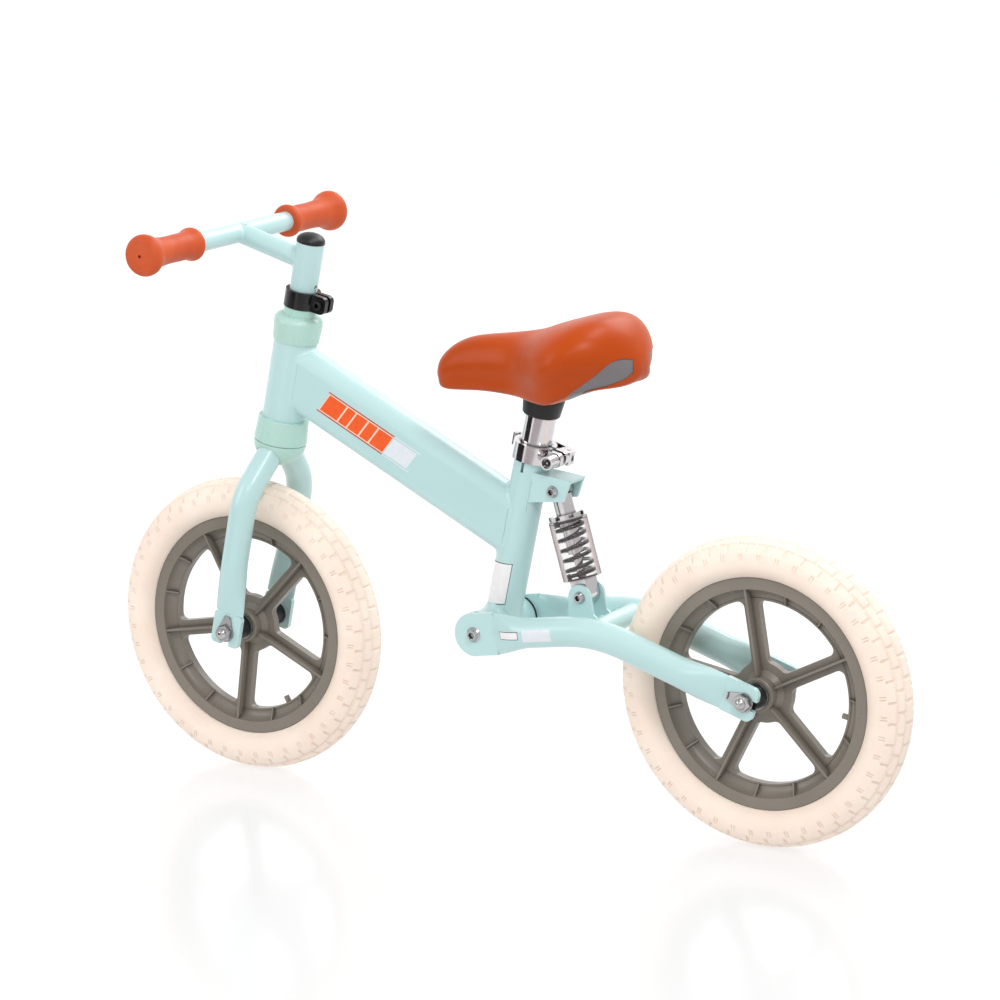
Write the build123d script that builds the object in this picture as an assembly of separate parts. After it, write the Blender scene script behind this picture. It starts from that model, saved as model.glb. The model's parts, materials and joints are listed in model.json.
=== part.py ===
from build123d import *
from math import acos, atan2, cos, degrees, hypot, pi, radians, sin, sqrt
import os

# Child's balance bike with a sprung swing arm, each piece a separate solid, in millimetres.
# X points forwards, Y to the rider's left and Z up. The origin is on the ground, midway between the hubs.

# Wheels
WHEELBASE = 564.0
TYRE_R = 145.0
TYRE_HALF_WIDTH = 23.0
TYRE_CENTRE_R = 124.0
RIM_EDGE_R = 108.5
RIM_BED_R = 104.0
RIM_HALF_WIDTH = 13.0
RIM_BAND_R = 97.2
WINDOW_R = 85.6
WINDOW_ROOT_R = 28.5
SPOKES = 5
SPOKE_HALF_WIDTH = 7.5
WEB_THICKNESS = 8.0
RIB_THICKNESS = 2.2
RIM_RIB_THICKNESS = 1.6
RIM_RIB_ANGLE = 24.0
HUB_R = 16.0
HUB_HALF_WIDTH = 17.5
BEARING_R = 12.5
BEARING_INNER_FACE = 12.9
BEARING_OUTER_FACE = 20.6
FRONT_SPOKE_ANGLE = 62.0
REAR_SPOKE_ANGLE = 9.5
AXLE_R = 4.75
SPACER_R = 11.0

# Steering
RAKE = 12.2
HEAD_TUBE_R = 21.0
HEAD_TUBE_BORE_R = 18.0
HEAD_TUBE_LOW = 211.0
HEAD_TUBE_HIGH = 294.0
STEERER_R = 11.1
STEERER_LOW = 168.0
STEERER_HIGH = 378.0
BLADE_R = 12.7
BLADE_WALL = 1.6
FORK_PLATE_Y = 41.0
PLATE_THICKNESS = 5.0
BALL_R = 2.3
BALL_RING_R = 14.0
BALLS = 14

# Handlebar
STEM_R = 13.4
STEM_LOW = 325.8
STEM_HIGH = 389.3
STEM_CLAMP_R = 16.9
STEM_CLAMP_HEIGHT = 17.0
BAR_R = 9.5
BAR_HALF_LENGTH = 159.0
BAR_REACH = 80.4
BAR_HEIGHT = 376.5
NECK_R = 9.75
NECK_HEIGHT = 370.5
GRIP_INNER = 77.5
GRIP_OUTER = 162.5

# Frame
SEAT_TUBE_ANGLE = 13.06
SEAT_TUBE_FOOT_X = -2.9
SEAT_TUBE_R = 17.0
SEAT_TUBE_BORE_R = 14.95
SEAT_TUBE_HIGH = 183.5
SLIT_LOW = 157.0
DOWN_TUBE_FRONT = (205.0, 389.5)
DOWN_TUBE_REAR = (-5.4, 282.7)
DOWN_TUBE_HEIGHT = 62.0
DOWN_TUBE_WIDTH = 33.6
DOWN_TUBE_CORNER = 14.0
DOWN_TUBE_WALL = 1.8
PIVOT_X = 1.0
PIVOT_Z = 174.8
PIVOT_SHELL_R = 20.0
PIVOT_SHELL_HALF = 36.5
PIVOT_BORE_R = 16.0
PIVOT_AXLE_R = 8.0
BUSH_FLANGE = 2.0

# Swing arm
ARM_R = 14.0
ARM_WALL = 2.0
ARM_Y = 44.5
ARM_BEND = (-130.5, 194.4)
ARM_BEND_R = 150.0
ARM_EYE_R = 20.6
ARM_FRONT_PLATE_Y = PIVOT_SHELL_HALF + BUSH_FLANGE + 0.1
ARM_REAR_PLATE_Y = 38.0
CROSS_TUBE_X = -126.0
CROSS_TUBE_Z = 192.0
CROSS_TUBE_R = 9.5

# Shock absorber
SHOCK_LOW = (-96.5, 214.7)
SHOCK_HIGH = (-69.6, 312.1)
BRACKET_HALF = 14.0
BRACKET_WALL = 3.0
SHOCK_BOLT_R = 3.0
SHOCK_EYE_HALF = 10.6
OPEN_PIVOT_CLEARANCE = 0.6
SPRING_SEAT = 18.0
SPRING_TOP = 70.0
SPRING_R = 13.3
SPRING_WIRE_R = 1.9
SPRING_TURNS = 5.5
COVER_R = 18.35
COVER_BORE_R = 17.3
SPRING_SEAT_R = 16.6

# Seat
POST_R = 14.9
POST_WALL = 1.8
POST_LOW = 62.0
POST_HIGH = 224.0
SOCKET_LOW = 212.0
SOCKET_HIGH = 231.0
COLLAR_LOW = 168.0
COLLAR_HIGH = 184.5
COLLAR_R = 20.2
SKEWER_X = -26.5
SKEWER_T = 176.0
EAR_GAP = 2.5
EAR_OUTER = 8.0
LEVER_Y = -16.5
# Saddle sections from the nose back: x, half width, half width underneath, top and underside.
SADDLE = [
    (57.0, 3.5, 2.0, 416.0, 408.0), (55.5, 9.5, 6.5, 423.0, 402.0), (50.0, 16.0, 12.0, 431.0, 399.3),
    (38.0, 21.0, 16.5, 441.0, 399.0), (14.0, 24.0, 19.0, 450.5, 400.5), (-20.0, 27.5, 22.5, 455.5, 400.5),
    (-45.0, 36.0, 31.0, 459.5, 399.5), (-68.0, 53.0, 45.0, 466.0, 398.5), (-88.0, 66.0, 54.0, 472.5, 400.5),
    (-108.0, 68.0, 54.0, 478.0, 408.5), (-128.0, 58.5, 45.0, 479.5, 415.0), (-144.0, 44.0, 33.0, 471.5, 417.5),
    (-153.5, 29.0, 21.0, 459.0, 420.5), (-158.8, 14.0, 10.5, 447.5, 426.0), (-160.6, 5.0, 4.0, 440.0, 431.5),
]

FRONT_X = WHEELBASE / 2
REAR_X = -WHEELBASE / 2
FROM_BASE = (Align.CENTER, Align.CENTER, Align.MIN)
STEER = Pos(FRONT_X, 0, TYRE_R) * Rot(0, -RAKE, 0)
SEAT = Pos(SEAT_TUBE_FOOT_X, 0, PIVOT_Z) * Rot(0, -SEAT_TUBE_ANGLE, 0)
SHOCK_LENGTH = hypot(SHOCK_HIGH[0] - SHOCK_LOW[0], SHOCK_HIGH[1] - SHOCK_LOW[1])
SHOCK_ANGLE = degrees(atan2(SHOCK_HIGH[0] - SHOCK_LOW[0], SHOCK_HIGH[1] - SHOCK_LOW[1]))
SHOCK = Pos(SHOCK_LOW[0], 0, SHOCK_LOW[1]) * Rot(0, SHOCK_ANGLE, 0)


def across(x, z, turn=0.0):
    """Frame whose local Z runs along the bike's Y, turned by an angle measured up from X."""
    return Pos(x, 0, z) * Rot(-90, 0, 0) * Rot(0, 0, -turn)


def rod(radius, low, high):
    return Pos(0, 0, low) * Cylinder(radius, high - low, align=FROM_BASE)


def ring(outer, inner, low, high):
    return rod(outer, low, high) - rod(inner, low - 1, high + 1)


def block(low, high):
    size = [b - a for a, b in zip(low, high)]
    return Pos(*[(a + b) / 2 for a, b in zip(low, high)]) * Box(*size)


def other_side(shape):
    return mirror(shape, about=Plane.XZ)


def group(*shapes):
    return Compound(children=[solid for shape in shapes for solid in shape.solids()])


def in_xz(points):
    return [(x, 0, z) for x, z in points]


def spin(points):
    """Solid turned about Z from a closed outline of (radius, height) points."""
    return revolve(make_face(Polyline(*in_xz(points), close=True)), Axis.Z)


def slab(points, low, high):
    """Plate parallel to the XZ plane from its (x, z) outline, between two values of y."""
    face = make_face(Polyline(*[(x, low, z) for x, z in points], close=True))
    return extrude(face, amount=high - low, dir=(0, 1, 0))


# ---------------------------------------------------------------- wheels


def rim():
    edge, bed, half = RIM_EDGE_R, RIM_BED_R, RIM_HALF_WIDTH
    cove_root, cove_y, lip_y = WINDOW_R + 2.6, 3.2, 3.9
    outside = Polyline(*in_xz([
        (RIM_BAND_R, half), (edge - 0.6, half), (edge, half - 0.6), (edge, 10.5), (bed, 9.0),
        (bed, -9.0), (edge, -10.5), (edge, 0.6 - half), (edge - 0.6, -half), (RIM_BAND_R, -half),
    ]))
    cove_mid = (RIM_BAND_R - 3.0, 6.4)
    lower_cove = ThreePointArc((RIM_BAND_R, 0, -half), (cove_mid[0], 0, -cove_mid[1]), (cove_root, 0, -cove_y))
    lip = Polyline(*in_xz([
        (cove_root, -cove_y), (cove_root - 0.8, -lip_y), (WINDOW_R, -lip_y),
        (WINDOW_R, lip_y), (cove_root - 0.8, lip_y), (cove_root, cove_y),
    ]))
    upper_cove = ThreePointArc((cove_root, 0, cove_y), (cove_mid[0], 0, cove_mid[1]), (RIM_BAND_R, 0, half))
    return revolve(make_face((outside + lower_cove + lip + upper_cove).edges()), Axis.Z)


def window():
    """Opening between two spokes, from the spoke on X to the next one."""
    step = 360 / SPOKES
    apex = SPOKE_HALF_WIDTH / sin(radians(step / 2))
    tip = Vector(apex * cos(radians(step / 2)), apex * sin(radians(step / 2)))
    along = Vector(TYRE_R, 0)
    rising = Vector(TYRE_R * cos(radians(step)), TYRE_R * sin(radians(step)))
    wedge = make_face(Polyline(tip, tip + along, tip + along + rising, tip + rising, close=True))
    opening = (Circle(WINDOW_R) - Circle(WINDOW_ROOT_R)) & wedge
    corners = opening.vertices().sort_by(lambda v: hypot(v.X, v.Y))
    opening = fillet(corners[:2], 7.0)
    corners = opening.vertices().sort_by(lambda v: hypot(v.X, v.Y))
    return fillet(corners[-2:], 6.0)


def hub():
    flare = HUB_R + 5
    half, web = HUB_HALF_WIDTH, WEB_THICKNESS / 2
    upper = [
        (flare, web), (HUB_R, web + 4), (HUB_R, half - 0.8), (HUB_R - 0.8, half),
        (BEARING_R, half), (BEARING_R, BEARING_INNER_FACE), (BEARING_R - 4.5, BEARING_INNER_FACE),
    ]
    lower = [(radius, -height) for radius, height in reversed(upper)]
    return spin(upper + lower)


def wheel_moulding():
    step = 360 / SPOKES
    web = Pos(0, 0, -WEB_THICKNESS / 2) * extrude(Circle(WINDOW_R + 1) - Circle(HUB_R - 2), WEB_THICKNESS)
    opening = Pos(0, 0, -WEB_THICKNESS) * extrude(window(), 2 * WEB_THICKNESS)
    rib_half = RIM_HALF_WIDTH - 0.5
    rib = block((HUB_R - 1, -RIB_THICKNESS / 2, -rib_half), (RIM_BAND_R, RIB_THICKNESS / 2, rib_half))
    rim_rib = slab([
        (WINDOW_R + 0.6, 5.0), (RIM_BAND_R, rib_half), (RIM_BAND_R + 2, rib_half),
        (RIM_BAND_R + 2, -rib_half), (RIM_BAND_R, -rib_half), (WINDOW_R + 0.6, -5.0),
    ], -RIM_RIB_THICKNESS / 2, RIM_RIB_THICKNESS / 2)
    stub = Rot(0, 0, 180) * Pos(WINDOW_R - 6.5, 0, 0) * Rot(0, 90, 0) * Cylinder(2.7, 8.5, align=FROM_BASE)
    wheel = web - [Rot(0, 0, k * step) * opening for k in range(SPOKES)]
    wheel += rim()
    wheel += hub()
    wheel += stub
    for k in range(SPOKES):
        wheel += Rot(0, 0, k * step) * rib
        wheel += Rot(0, 0, k * step + RIM_RIB_ANGLE) * rim_rib
        wheel += Rot(0, 0, k * step - RIM_RIB_ANGLE) * rim_rib
    return wheel


def tyre():
    """Solid foam tyre: a half ellipse over the tread, a flatter one down to the rim, and a plug in its bed."""
    centre, half = TYRE_CENTRE_R, TYRE_HALF_WIDTH
    foot = RIM_HALF_WIDTH + 0.3
    drop = (centre - RIM_EDGE_R) / sqrt(1 - (foot / half) ** 2)
    tread = Pos(centre, 0) * Ellipse(TYRE_R - centre, half) & Pos(centre + half, 0) * Rectangle(2 * half, 3 * half)
    wall = Pos(centre, 0) * Ellipse(drop, half) & Pos((centre + RIM_EDGE_R) / 2, 0) * Rectangle(
        centre - RIM_EDGE_R, 3 * half)
    plug = make_face(Polyline((RIM_BED_R, -9), (RIM_EDGE_R, -10.5), (RIM_EDGE_R, 10.5), (RIM_BED_R, 9), close=True))
    return revolve(Plane.XZ * (tread + wall + plug), Axis.Z)


def bearings():
    inner, outer, bore = BEARING_INNER_FACE, BEARING_OUTER_FACE, AXLE_R + 0.05
    shield = ring(10.4, 6.6, outer - 0.9, outer + 1)
    return [side * (ring(BEARING_R, bore, inner, outer) - shield) for side in (Rot(0, 0, 0), Rot(180, 0, 0))]


def spacers(plate_y):
    one = ring(SPACER_R, AXLE_R, BEARING_OUTER_FACE + 0.4, plate_y)
    return group(one, Rot(180, 0, 0) * one)


def axle(plate_y):
    return rod(AXLE_R, -(plate_y + 12.5), plate_y + 12.5)


def axle_nuts(face_y):
    """Hexagon nuts with dome caps over the axle's ends, outside a plate whose outer face is at face_y."""
    nut_low, nut_high, dome_r = face_y + 1.5, face_y + 7.0, 5.6
    nut = Pos(0, 0, nut_low) * extrude(RegularPolygon(8.2, 6), nut_high - nut_low)
    nut &= Pos(0, 0, nut_low) * Cone(10.0, 6.4, nut_high - nut_low + 1.4, align=FROM_BASE)
    dome = Pos(0, 0, face_y + 11.0 - dome_r) * Sphere(dome_r)
    dome -= rod(20, -50, nut_low)
    bore = rod(AXLE_R, 0, face_y + PLATE_THICKNESS + 2.5)
    one = (nut + dome) - bore
    return [one, Rot(180, 0, 0) * one]


def tab_washer(face_y):
    """Safety washer with a hooked tab that points along local X."""
    disc_r, reach = 9.2, 17.0
    outline = Circle(disc_r) + make_face(Polyline(
        (0, disc_r), (reach, 3.2), (reach, -3.2), (0, -disc_r), close=True))
    plate = Pos(0, 0, face_y) * extrude(outline, 1.5)
    hook = block((reach - 1.5, -3.0, face_y), (reach, 3.0, face_y + 3.4))
    return plate + hook - rod(AXLE_R, face_y - 1, face_y + 4)


# ---------------------------------------------------------------- fork and headset


def flattened(stations):
    """Hollow loft through ellipses given as (plane, half height, half thickness)."""
    solid = loft([plane * Ellipse(height, thickness) for plane, height, thickness in stations])
    hollow = [plane * Ellipse(height - 1.8, thickness - 1.8) for plane, height, thickness in stations if thickness > 4]
    return solid - loft(hollow)


def fork_blade():
    """Left blade in the steering frame: a bent tube pressed flat into a slotted plate at its foot."""
    tube_low, plate_high = 75.0, 20.0
    path = FilletPolyline((0, 8.0, 186.4), (0, 48.3, 141.0), (0, 48.3, tube_low), radius=50.0)
    start = Plane(origin=path @ 0, z_dir=path % 0)
    tube = sweep(start * (Circle(BLADE_R) - Circle(BLADE_R - BLADE_WALL)), path=path)
    middle = FORK_PLATE_Y + PLATE_THICKNESS / 2
    levels = [(tube_low, 48.3, BLADE_R, BLADE_R), (58.0, 47.2, 13.9, 11.2), (42.0, 45.6, 15.2, 8.0),
              (28.0, 44.2, 15.8, 4.2), (plate_high, middle, 15.8, 2.6)]
    foot = flattened([
        (Plane(origin=(0, y, s), x_dir=(1, 0, 0), z_dir=(0, 0, 1)), wide, thick) for s, y, wide, thick in levels])
    outline = Pos(0, (plate_high + 7.0) / 2 - 10.0) * RectangleRounded(31.6, plate_high + 13.0, 4.5)
    plate = Pos(0, FORK_PLATE_Y + PLATE_THICKNESS, 0) * extrude(Plane.XZ * outline, PLATE_THICKNESS)
    slot = Rot(90, 0, 0) * Cylinder(AXLE_R + 0.05, 200)
    slot += block((-AXLE_R - 0.05, 30, -30), (AXLE_R + 0.05, 60, 0))
    blade = tube + foot + (plate - slot)
    blade -= rod(STEERER_R + 0.01, 150, 200)
    return blade - block((-40, -60, 100), (40, 0.1, 230))


def blade_envelope(gap):
    """The left blade's bend as a solid bar, larger by a gap."""
    path = FilletPolyline((0, -6.0, 202.2), (0, 48.3, 141.0), (0, 48.3, 80.0), radius=50.0)
    return sweep(Plane(origin=path @ 0, z_dir=path % 0) * Circle(BLADE_R + gap), path=path)


def fork_steerer():
    return ring(STEERER_R, STEERER_R - 2.0, STEERER_LOW, STEERER_HIGH)


def fork_crown_cover():
    """Domed plastic cover under the head tube, with an arch over each blade."""
    top, radius, depth, wall = 189.8, 25.4, 24.4, 1.9
    keep = Pos(0, -depth) * Rectangle(4 * radius, 2 * depth)
    quarter = Pos(radius, -depth / 2) * Rectangle(2 * radius, depth)
    section = (Ellipse(radius, depth) - Ellipse(radius - wall, depth - wall)) & keep & quarter
    dome = Pos(0, 0, top) * revolve(Plane.XZ * section, Axis.Z)
    envelope = blade_envelope(0.35)
    dome -= envelope
    dome -= other_side(envelope)
    return dome - rod(STEERER_R + 0.2, 150, 200)


def headset_lower_cup():
    outline = [
        (HEAD_TUBE_R, HEAD_TUBE_LOW), (HEAD_TUBE_R, 214.0), (23.6, 214.0), (24.4, 213.2),
        (25.2, 200.0), (25.8, 192.0), (25.4, 190.4), (23.0, 190.4), (22.6, HEAD_TUBE_LOW),
    ]
    return spin(outline)


def headset_upper_cover():
    """Cover over the upper bearing, with a rounded shoulder and a neck round the steerer."""
    low, shoulder, neck_low, neck_high, neck_r = 292.6, 311.0, 317.2, 325.4, 15.75
    side = Polyline(*in_xz([(HEAD_TUBE_R, HEAD_TUBE_HIGH), (HEAD_TUBE_R, low), (22.3, low), (23.75, shoulder)]))
    shoulder_arc = ThreePointArc((23.75, 0, shoulder), (22.1, 0, 315.2), (18.6, 0, neck_low))
    rest = Polyline(*in_xz([
        (18.6, neck_low), (neck_r, neck_low + 0.6), (neck_r, neck_high), (STEERER_R + 0.6, neck_high),
        (STEERER_R + 0.6, neck_low - 3), (20.2, shoulder - 1), (20.2, HEAD_TUBE_HIGH), (HEAD_TUBE_R, HEAD_TUBE_HIGH),
    ]))
    return revolve(make_face((side + shoulder_arc + rest).edges()), Axis.Z)


def headset_races():
    """Pressed races, each with a flange against the end of the head tube."""
    lower = ring(20.0, 11.9, HEAD_TUBE_LOW - 2.2, HEAD_TUBE_LOW)
    lower += ring(HEAD_TUBE_BORE_R, 14.6, HEAD_TUBE_LOW - 1, HEAD_TUBE_LOW + 8)
    upper = ring(20.0, 11.9, HEAD_TUBE_HIGH, HEAD_TUBE_HIGH + 2.2)
    upper += ring(HEAD_TUBE_BORE_R, 14.6, HEAD_TUBE_HIGH - 8, HEAD_TUBE_HIGH + 1)
    return group(lower, upper)


def ball_levels():
    reach = BALL_R + 2.2 + 0.05
    return HEAD_TUBE_LOW - reach, HEAD_TUBE_HIGH + reach


def headset_balls():
    balls = []
    for level in ball_levels():
        for k in range(BALLS):
            balls.append(Rot(0, 0, k * 360 / BALLS) * Pos(BALL_RING_R, 0, level) * Sphere(BALL_R))
    return group(*balls)


def headset_cones():
    """Crown race on the steerer below the lower balls, and the threaded cone above the upper ones."""
    low, high = ball_levels()
    gap = BALL_R + 0.05
    crown_race = ring(17.0, STEERER_R, 193.0, low - gap)
    cone = ring(17.0, STEERER_R, high + gap, high + gap + 5)
    return group(crown_race, cone)


def head_tube():
    return ring(HEAD_TUBE_R, HEAD_TUBE_BORE_R, HEAD_TUBE_LOW, HEAD_TUBE_HIGH)


# ---------------------------------------------------------------- handlebar


def stem_tube():
    keyhole_s, slit_half = 347.8, 1.1
    tube = ring(STEM_R, STEERER_R + 0.05, STEM_LOW, STEM_HIGH)
    slit = block((-20, -slit_half, STEM_LOW - 1), (0, slit_half, keyhole_s))
    keyhole = Pos(-10, 0, keyhole_s) * Rot(0, 90, 0) * Cylinder(2.5, 20)
    return tube - slit - keyhole


def stem_cap():
    """Domed plug in the top of the stem."""
    radius, height = STEM_R + 0.3, 9.2
    dome = scale(Sphere(radius), (1, 1, (height - 1.5) / radius))
    dome = Pos(0, 0, STEM_HIGH + 1.5) * dome - rod(30, 300, STEM_HIGH + 1.5)
    return dome + rod(radius, STEM_HIGH, STEM_HIGH + 1.5) + rod(STEERER_R + 0.05, STEM_HIGH - 8, STEM_HIGH + 0.5)


def bar_rod(radius, half):
    return Pos(BAR_REACH, 0, BAR_HEIGHT) * Rot(-90, 0, 0) * rod(radius, -half, half)


def stem_neck():
    """Short tube from the stem to the bar, mitred to both."""
    path = Vector(BAR_REACH, 0, BAR_HEIGHT - NECK_HEIGHT)
    plane = Plane(origin=(0, 0, NECK_HEIGHT), z_dir=path)
    neck = extrude(plane * (Circle(NECK_R) - Circle(NECK_R - 2.0)), path.length)
    return neck - rod(STEM_R, STEM_LOW, STEM_HIGH + 20) - bar_rod(BAR_R, 60)


def handlebar():
    return bar_rod(BAR_R, BAR_HALF_LENGTH) - bar_rod(BAR_R - 1.8, BAR_HALF_LENGTH + 1)


def grip():
    """Left grip: a waisted sleeve with a flange at each end, closed over the bar's end."""
    low, high = GRIP_INNER, GRIP_OUTER
    side = Spline(*in_xz([(15.3, low + 0.9), (15.9, low + 3.5), (14.2, low + 9.5), (13.1, low + 22), (12.9, low + 38),
                          (13.7, low + 55), (15.9, low + 66), (19.2, low + 73.5), (19.6, low + 78.5),
                          (17.6, low + 82.6), (12.5, high - 0.5)]))
    inner_face = Polyline(*in_xz([(BAR_R, BAR_HALF_LENGTH), (BAR_R, low), (14.6, low), (15.3, low + 0.9)]))
    end_face = Polyline(*in_xz([(12.5, high - 0.5), (8.0, high), (1.6, high), (1.6, BAR_HALF_LENGTH),
                                (BAR_R, BAR_HALF_LENGTH)]))
    sleeve = revolve(make_face((side + inner_face + end_face).edges()), Axis.Z)
    return Pos(BAR_REACH, 0, BAR_HEIGHT) * Rot(-90, 0, 0) * sleeve


def stem_clamp():
    low, high = STEM_LOW - 0.2, STEM_LOW - 0.2 + STEM_CLAMP_HEIGHT
    band = ring(STEM_CLAMP_R, STEM_R, low, high)
    ears = block((-31, -7.5, low), (-14, 7.5, high)) - rod(STEM_R + 1, low - 1, high + 1)
    clamp = band + ears - block((-40, -2.0, low - 1), (0, 2.0, high + 1))
    ear_corners = clamp.edges().filter_by(Axis.Y).group_by(Axis.X)[0]
    clamp = fillet(ear_corners, 5.0)
    return clamp - clamp_bolt_axis(3.0)


def clamp_bolt_axis(radius, half=20.0):
    level = STEM_LOW + STEM_CLAMP_HEIGHT / 2
    return Pos(-24.0, 0, level) * Rot(-90, 0, 0) * rod(radius, -half, half)


def stem_clamp_bolt():
    level = STEM_LOW + STEM_CLAMP_HEIGHT / 2
    shank = rod(2.5, -9.5, 7.5)
    head = rod(4.4, 7.5, 11.5) - Pos(0, 0, 9) * extrude(RegularPolygon(2.4, 6), 5)
    nut = Pos(0, 0, -10.5) * extrude(RegularPolygon(4.6, 6), 3.0)
    return Pos(-24.0, 0, level) * Rot(-90, 0, 0) * (shank + head + nut)


# ---------------------------------------------------------------- frame


def seat_tube():
    tube = ring(SEAT_TUBE_R, SEAT_TUBE_BORE_R, -30, SEAT_TUBE_HIGH)
    tube -= block((-1.5, -30, SLIT_LOW), (1.5, 30, SEAT_TUBE_HIGH + 5))
    placed = SEAT * tube
    placed -= across(PIVOT_X, PIVOT_Z) * rod(PIVOT_SHELL_R, -60, 60)
    return placed - block((-80, -60, 60), (80, 60, PIVOT_Z))


def down_tube():
    front = Vector(DOWN_TUBE_FRONT[0], 0, DOWN_TUBE_FRONT[1])
    rear = Vector(DOWN_TUBE_REAR[0], 0, DOWN_TUBE_REAR[1])
    forwards = (front - rear).normalized()
    start = rear - forwards * 20
    plane = Plane(origin=start, x_dir=(0, 1, 0), z_dir=forwards)
    length = (front - rear).length + 42
    wall = DOWN_TUBE_WALL
    outer = RectangleRounded(DOWN_TUBE_WIDTH, DOWN_TUBE_HEIGHT, DOWN_TUBE_CORNER)
    inner = RectangleRounded(DOWN_TUBE_WIDTH - 2 * wall, DOWN_TUBE_HEIGHT - 2 * wall, DOWN_TUBE_CORNER - wall)
    tube = extrude(plane * (outer - inner), length)
    tube -= STEER * rod(HEAD_TUBE_R, 150, 350)
    return tube - SEAT * rod(SEAT_TUBE_R, 20, 200)


def pivot_shell():
    return across(PIVOT_X, PIVOT_Z) * ring(PIVOT_SHELL_R, PIVOT_BORE_R, -PIVOT_SHELL_HALF, PIVOT_SHELL_HALF)


def pivot_bushes():
    face = PIVOT_SHELL_HALF
    bore = PIVOT_AXLE_R + 0.05
    one = ring(PIVOT_BORE_R, bore, face - 16, face) + ring(PIVOT_SHELL_R + 0.6, bore, face, face + BUSH_FLANGE)
    one = across(PIVOT_X, PIVOT_Z) * one
    return group(one, other_side(one))


def shock_top_bracket():
    """Folded channel welded to the back of the seat tube: two sides under a sloping top."""
    top_front, top_rear, low_rear, low_front = (-30.0, 330.2), (-88.8, 323.4), (-81.2, 303.6), (-30.0, 298.4)
    slope = (top_front[1] - top_rear[1]) / (top_front[0] - top_rear[0])
    outside = slab([top_front, top_rear, low_rear, low_front], -BRACKET_HALF, BRACKET_HALF)
    outside = fillet(outside.edges().filter_by(Axis.Y).group_by(Axis.Z)[-1], 2.0)
    under = top_front[1] - BRACKET_WALL
    inside = slab([(0, under + slope * 30), (-120, under - slope * 90), (-120, 280), (0, 280)],
                  -BRACKET_HALF + BRACKET_WALL, BRACKET_HALF - BRACKET_WALL)
    bracket = outside - inside
    bracket -= SEAT * rod(SEAT_TUBE_R, 60, 200)
    return bracket - across(*SHOCK_HIGH) * rod(SHOCK_BOLT_R, -40, 40)


def shock_bolt(x, z):
    """Socket button bolt through both walls of a bracket, with a lock nut on the far side."""
    shank = rod(SHOCK_BOLT_R, -BRACKET_HALF - 5.5, BRACKET_HALF)
    head = Pos(0, 0, BRACKET_HALF) * Cone(5.9, 4.2, 3.8, align=FROM_BASE)
    head -= Pos(0, 0, BRACKET_HALF + 1.2) * extrude(RegularPolygon(2.9, 6), 5)
    nut = Pos(0, 0, -BRACKET_HALF - 5) * extrude(RegularPolygon(5.8, 6), 5)
    return across(x, z) * (shank + head + nut)


def seat_collar():
    """Clamp ring round the top of the seat tube, split at the back between two ears."""
    band = ring(COLLAR_R, SEAT_TUBE_R, COLLAR_LOW, COLLAR_HIGH)
    lip = ring(COLLAR_R, POST_R + 0.5, SEAT_TUBE_HIGH + 0.1, COLLAR_HIGH)
    ears = block((-33, -EAR_OUTER, COLLAR_LOW + 1.5), (-16, EAR_OUTER, COLLAR_HIGH - 1.5))
    ears -= rod(SEAT_TUBE_R + 1, 100, 220)
    collar = band + lip + ears
    collar -= block((-60, -EAR_GAP, 100), (-10, EAR_GAP, 220))
    back = collar.edges().filter_by(Axis.Y).group_by(Axis.X)[0]
    collar = fillet(back, 5.0)
    return SEAT * (collar - Pos(SKEWER_X, 0, SKEWER_T) * Rot(-90, 0, 0) * rod(2.6, -30, 30))


def on_skewer(shape):
    return SEAT * Pos(SKEWER_X, 0, SKEWER_T) * Rot(-90, 0, 0) * shape


def qr_skewer():
    """Rod through the ears, with an eye and a cross pin that the lever's cam turns on."""
    eye = Cylinder(3.6, 5.6) + Cylinder(1.5, 12.6)
    return on_skewer(rod(2.5, LEVER_Y, 21) + Pos(0, 0, LEVER_Y) * Rot(90, 0, 0) * eye)


def qr_barrel_nut():
    """Knurled barrel nut with a recessed end."""
    barrel = rod(6.4, EAR_OUTER, 22.4) - rod(4.8, 20.4, 23) - rod(2.5, 0, 21)
    barrel = chamfer(barrel.edges().group_by(Axis.Z)[0], 0.6)
    notches = [Rot(0, 0, k * 30) * Pos(6.6, 0, 14) * Rot(0, 0, 45) * Box(0.7, 0.7, 11) for k in range(12)]
    return on_skewer(barrel - notches)


def qr_cam_washer():
    """Curved seat between the ear and the cam."""
    face = -EAR_OUTER
    cam = Pos(0, 0, LEVER_Y) * Rot(90, 0, 0) * Cylinder(7.3, 40)
    seat = block((-6.5, -6.5, face - 4.6), (6.5, 6.5, face)) - cam
    return on_skewer(seat - rod(2.6, -30, 30))


def qr_lever():
    """Cam and curved lever, which wraps forwards round the tube when it is closed.

    The cam is slotted so that it clears the skewer as the lever swings out.
    """
    cx, cy = SKEWER_X, LEVER_Y
    half = 6.0
    cam = Pos(cx, cy, 0) * Cylinder(7.0, 2 * half)
    swept = make_face(Polyline((2.8, 0), (2.8, 12), (-14, 12), (-14, -11.3), (1.4, -2.42), close=True))
    yoke_slot = Pos(cx, cy, 0) * (Cylinder(3.9, 6.2) + extrude(swept, 3.1, both=True))
    centre = Spline((cx, cy - 4.5), (cx + 14, cy - 9.0), (cx + 34, cy - 9.2), (cx + 50, cy - 4.6), (cx + 56, cy + 3.0))
    arm = extrude(trace(centre, 4.0), half) + extrude(trace(centre, 4.0), -half)
    tip = Pos(cx + 56, cy + 3.0, 0) * Cylinder(2.6, 2 * half)
    lever = cam + arm + tip - yoke_slot - Pos(cx, cy, 0) * Cylinder(1.56, 30)
    return SEAT * Pos(0, 0, SKEWER_T) * lever


# ---------------------------------------------------------------- swing arm


def unit(start, end):
    return (Vector(end[0], 0, end[1]) - Vector(start[0], 0, start[1])).normalized()


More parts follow.
